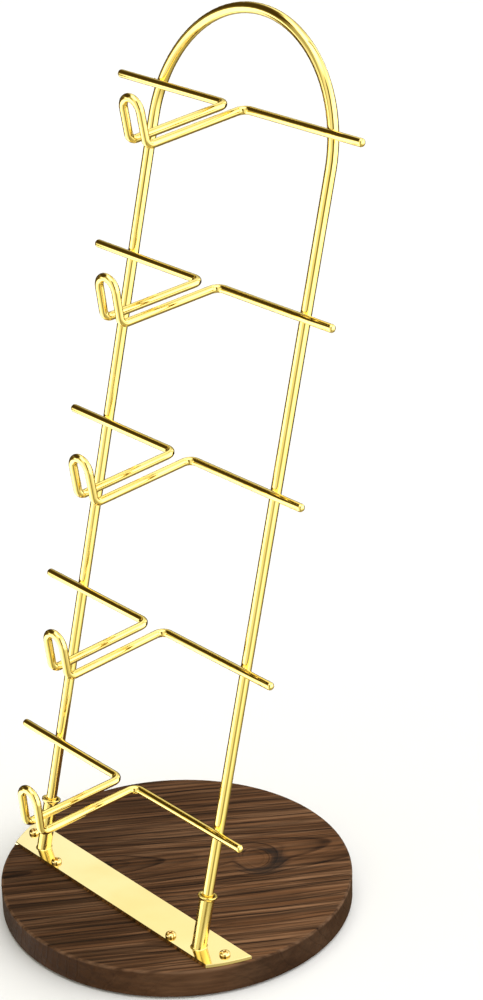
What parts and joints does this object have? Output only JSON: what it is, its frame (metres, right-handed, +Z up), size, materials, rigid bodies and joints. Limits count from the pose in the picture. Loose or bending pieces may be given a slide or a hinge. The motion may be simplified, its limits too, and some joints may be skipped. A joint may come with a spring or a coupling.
{
  "type": "eyeglasses display stand",
  "caption": "Tabletop spectacles display stand: leaning wire arch with bent-wire nose loops and cross bars, plugged into sockets on a round wooden base.",
  "frame": {"origin": "on the counter under the centre of the round base", "axes": "+Z up; -Y is the front, towards which the nose loops reach; the brass strip and the cross bars run along X"},
  "size_m": [0.16, 0.1607, 0.4025],
  "materials": {
    "walnut_wood": "satin, dark walnut stain, open grain",
    "pad_foam": "matt",
    "strip_gold": "mirror polished",
    "wire_gold": "mirror polished",
    "socket_gold": "mirror polished",
    "screw_gold": "polished, worn in the recess"
  },
  "bodies": {
    "base": {"under_pad": "pad_foam", "wood_base": "walnut_wood", "base_strip": "strip_gold", "strip_screws": "screw_gold", "socket_left": "socket_gold", "socket_right": "socket_gold"},
    "rack": {"arch_rod": "wire_gold", "holder_1": "wire_gold", "holder_2": "wire_gold", "holder_3": "wire_gold", "holder_4": "wire_gold", "holder_5": "wire_gold"}
  },
  "joints": [
    {"name": "rack_lift", "type": "slide", "parent": "base", "child": "rack", "axis": [0, 0.2394, 0.9709], "range_m": [0, 0.06]}
  ]
}
